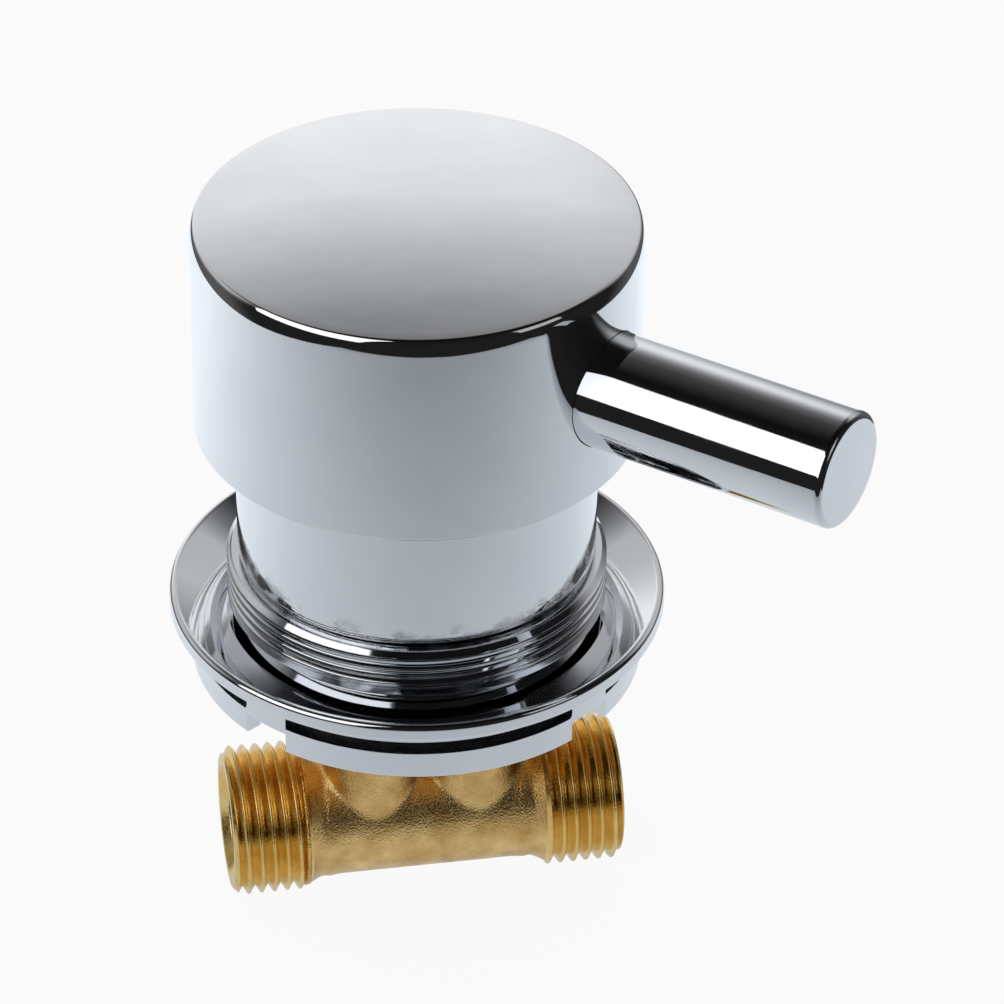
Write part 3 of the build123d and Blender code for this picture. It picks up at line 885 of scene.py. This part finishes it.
lever = turn_on_lathe(
    "chrome_lever",
    [
        (0, LEVER_REACH, 0),
        (LEVER_RADIUS, LEVER_REACH, LEVER_END_ROUND),
        (LEVER_RADIUS, LEVER_SEAT, LEVER_SEAT_ROUND),
        (STUD_BORE, LEVER_SEAT, 0),
        (STUD_BORE, STUD_HOLE_END, 0),
        (0, STUD_HOLE_END, 0),
    ],
    closed=False,
)
take_up(lever)
bpy.ops.object.shade_smooth_by_angle(angle=radians(TURNED_SMOOTH))
set_place(lever, (0, radians(90), radians(LEVER_DIRECTION)), (0, 0, LEVER_Z))
dress(lever, POLISHED_CHROME, "polished_chrome", "handle", "lever_bar")


def plain_steel():
    """Plain drawn steel with fine marks."""
    material = new_material("steel", metallic=1.0)
    vary_colour(material, 400, (0.48, 0.48, 0.49), (0.60, 0.60, 0.61))
    vary_roughness(material, 1200, 0.22, 0.38)
    return material


paint_nodes(("lever_stud", "grub_screw", "pivot_pin"), plain_steel())

# Table and room
# A white table just under the valve, which shows the metal a glow of painted shade, darker towards the
# front; in a room with a pale wall behind and darkness above and around.
# A large soft light stands at the front left, and a weaker reflector at the front right.

TABLE_HALF = 0.19
TABLE_BACK = 1.2
TABLE_FRONT = 0.2
TABLE_GAP = 0.0001
TABLE_REFLECTION_TINT = (0.94, 1.0, 1.06)
TABLE_PAINTED_SHADES = [(0.0, 0.28), (0.2, 0.46), (0.5, 0.68), (0.8, 1.0), (1.0, 1.0)]
TABLE_PAINTED_SHADES_REACH = 0.2
TABLE_PAINT = (0.8, 0.8, 0.8, 1)
TABLE_GLOW = 0.93
WALL_LOW = [(0.0, 0.95), (0.35, 0.95), (0.48, 0.84), (0.57, 0.58)]
WALL_HIGH = [(0.66, 0.32), (0.75, 0.14), (0.87, 0.05), (1.0, 0.012)]
CORNERS = [(0.0, 0.1), (0.2, 0.33), (0.4, 0.54), (0.6, 0.5), (0.68, 0.2), (0.76, 0.04)]
CORNER_REACH = (0.2, 0.4)
FRONT = [(0.0, 0.014), (0.6, 0.01), (1.0, 0.004)]
FRONT_REACH = (0.05, 0.45)
LIGHT_AIM = (0, 0, 0.03)

bpy.ops.object.select_all(action="DESELECT")
bpy.ops.mesh.primitive_plane_add(size=1)
table = bpy.context.object
table.name = "white_table"
table.scale = (2 * TABLE_HALF, TABLE_FRONT + TABLE_BACK, 1)
table.location = (0, (TABLE_BACK - TABLE_FRONT) / 2, cad_low.z - TABLE_GAP)
bpy.ops.object.transform_apply(location=True, rotation=True, scale=True)


def ramp_node(tree, stops, tint=(1.0, 1.0, 1.0)):
    """Colour ramp of levels at positions from 0 to 1, in a tint."""
    node = tree.nodes.new("ShaderNodeValToRGB")
    ramp = node.color_ramp
    while len(ramp.elements) < len(stops):
        ramp.elements.new(0.5)
    for element, (position, level) in zip(ramp.elements, stops):
        element.position = position
        element.color = (*(level * share for share in tint), 1)
    return node


def table_white_painted_reflection():
    """Matt white table, white to the camera; in the metal it shows a painted glow, darker at the front
    than at the back.
    """
    material = bpy.data.materials.new("table_white_painted_reflection")
    material.use_nodes = True
    tree = material.node_tree
    tree.nodes.clear()
    link = tree.links.new
    place = tree.nodes.new("ShaderNodeTexCoord")
    axes = tree.nodes.new("ShaderNodeSeparateXYZ")
    # Painted shade: what the metal sees of the table is a bluish glow that darkens towards the front, in
    # place of light falling off.
    depth = tree.nodes.new("ShaderNodeMapRange")
    depth.inputs["From Min"].default_value = -TABLE_PAINTED_SHADES_REACH
    depth.inputs["From Max"].default_value = TABLE_PAINTED_SHADES_REACH
    shade = ramp_node(tree, TABLE_PAINTED_SHADES, TABLE_REFLECTION_TINT)
    link(place.outputs["Object"], axes.inputs["Vector"])
    link(axes.outputs["Y"], depth.inputs["Value"])
    link(depth.outputs["Result"], shade.inputs["Fac"])
    path = tree.nodes.new("ShaderNodeLightPath")
    seen = tree.nodes.new("ShaderNodeEmission")
    # Painted reflection: this glow is what glossy rays see of the table.
    painted_reflection = tree.nodes.new("ShaderNodeEmission")
    link(shade.outputs["Color"], painted_reflection.inputs["Color"])
    matt = tree.nodes.new("ShaderNodeBsdfDiffuse")
    matt.inputs["Color"].default_value = TABLE_PAINT
    to_camera = tree.nodes.new("ShaderNodeMixShader")
    camera_share = tree.nodes.new("ShaderNodeMath")
    camera_share.operation = "MULTIPLY"
    camera_share.inputs[1].default_value = TABLE_GLOW
    link(path.outputs["Is Camera Ray"], camera_share.inputs[0])
    link(camera_share.outputs["Value"], to_camera.inputs["Fac"])
    link(matt.outputs["BSDF"], to_camera.inputs[1])
    link(seen.outputs["Emission"], to_camera.inputs[2])
    to_metal = tree.nodes.new("ShaderNodeMixShader")
    link(path.outputs["Is Glossy Ray"], to_metal.inputs["Fac"])
    link(to_camera.outputs["Shader"], to_metal.inputs[1])
    link(painted_reflection.outputs["Emission"], to_metal.inputs[2])
    out = tree.nodes.new("ShaderNodeOutputMaterial")
    link(to_metal.outputs["Shader"], out.inputs["Surface"])
    return material


table.data.materials.append(table_white_painted_reflection())


def eased_range(tree, start, stop):
    """Node that eases from 0 to 1 between two values."""
    node = tree.nodes.new("ShaderNodeMapRange")
    node.interpolation_type = "SMOOTHSTEP"
    node.inputs["From Min"].default_value = start
    node.inputs["From Max"].default_value = stop
    return node


def room_light():
    """World: white to the camera; in the metal a pale wall behind that fades to a dark ceiling."""
    world = bpy.data.worlds.new("studio_room")
    world.use_nodes = True
    tree = world.node_tree
    tree.nodes.clear()
    link = tree.links.new
    place = tree.nodes.new("ShaderNodeTexCoord")
    axes = tree.nodes.new("ShaderNodeSeparateXYZ")
    link(place.outputs["Generated"], axes.inputs["Vector"])
    side = tree.nodes.new("ShaderNodeMath")
    side.operation = "ABSOLUTE"
    link(axes.outputs["X"], side.inputs[0])
    wall = ramp_node(tree, WALL_LOW + WALL_HIGH)
    link(axes.outputs["Z"], wall.inputs["Fac"])
    corners = ramp_node(tree, CORNERS)
    link(axes.outputs["Z"], corners.inputs["Fac"])
    aside = eased_range(tree, *CORNER_REACH)
    link(side.outputs["Value"], aside.inputs["Value"])
    back = tree.nodes.new("ShaderNodeMix")
    back.data_type = "RGBA"
    link(aside.outputs["Result"], back.inputs["Factor"])
    link(wall.outputs["Color"], back.inputs["A"])
    link(corners.outputs["Color"], back.inputs["B"])
    front = ramp_node(tree, FRONT)
    link(axes.outputs["Z"], front.inputs["Fac"])
    behind = eased_range(tree, *FRONT_REACH)
    link(axes.outputs["Y"], behind.inputs["Value"])
    room = tree.nodes.new("ShaderNodeMix")
    room.data_type = "RGBA"
    link(behind.outputs["Result"], room.inputs["Factor"])
    link(front.outputs["Color"], room.inputs["A"])
    link(back.outputs["Result"], room.inputs["B"])
    path = tree.nodes.new("ShaderNodeLightPath")
    shown = tree.nodes.new("ShaderNodeMix")
    shown.data_type = "RGBA"
    shown.inputs["B"].default_value = (1, 1, 1, 1)
    link(path.outputs["Is Camera Ray"], shown.inputs["Factor"])
    link(room.outputs["Result"], shown.inputs["A"])
    glow = tree.nodes.new("ShaderNodeBackground")
    link(shown.outputs["Result"], glow.inputs["Color"])
    out = tree.nodes.new("ShaderNodeOutputWorld")
    link(glow.outputs["Background"], out.inputs["Surface"])
    bpy.context.scene.world = world


room_light()


def soft_light(name, bearing, height, width, tall, level, distance=0.62):
    """Rectangular soft light that faces the valve from a bearing and a height, in degrees."""
    lamp = bpy.data.lights.new(name, "AREA")
    lamp.shape = "RECTANGLE"
    lamp.size = 2 * distance * tan(radians(width / 2))
    lamp.size_y = 2 * distance * tan(radians(tall / 2))
    lamp.energy = level * pi * lamp.size * lamp.size_y
    holder = bpy.data.objects.new(name, lamp)
    bpy.context.scene.collection.objects.link(holder)
    away = Vector((sin(radians(bearing)), cos(radians(bearing)), 0)) * cos(radians(height))
    away.z = sin(radians(height))
    holder.location = away * distance + Vector(LIGHT_AIM)
    holder.rotation_euler = (-away).to_track_quat("-Z", "Y").to_euler()
    return holder


soft_light("front_left_softbox", bearing=-118, height=32, width=56, tall=45, level=1.25)
soft_light("front_right_reflector", bearing=130, height=20, width=22, tall=22, level=0.45)
overhead = soft_light("overhead_fill", bearing=0, height=80, width=60, tall=60, level=1.0, distance=0.9)
overhead.visible_glossy = False

# Camera
# A long lens from the front left, above the valve, level from side to side.
# Its place and its length were fitted to the outlines of the real valve.

EYE = (-90.0, -554.8, 407.3)
EYE_DOWN = 34.34
EYE_TURN = -9.21
FRAME_PIXELS = 1004
FOCAL_PIXELS = 5009.0
AXIS_COLUMN = 416.4
SENSOR_WIDTH = 36.0
NEAREST = 0.01
FARTHEST = 20

lens = bpy.data.cameras.new("photo_camera")
lens.sensor_width = SENSOR_WIDTH
lens.lens = FOCAL_PIXELS * SENSOR_WIDTH / FRAME_PIXELS
lens.shift_x = (FRAME_PIXELS / 2 - AXIS_COLUMN) / FRAME_PIXELS
lens.clip_start = NEAREST
lens.clip_end = FARTHEST
camera = bpy.data.objects.new("photo_camera", lens)
bpy.context.scene.collection.objects.link(camera)
camera.location = Vector(EYE) * MM
camera.rotation_euler = (radians(90 - EYE_DOWN), 0, radians(EYE_TURN))
bpy.context.scene.camera = camera
bpy.context.scene.view_settings.view_transform = "Standard"
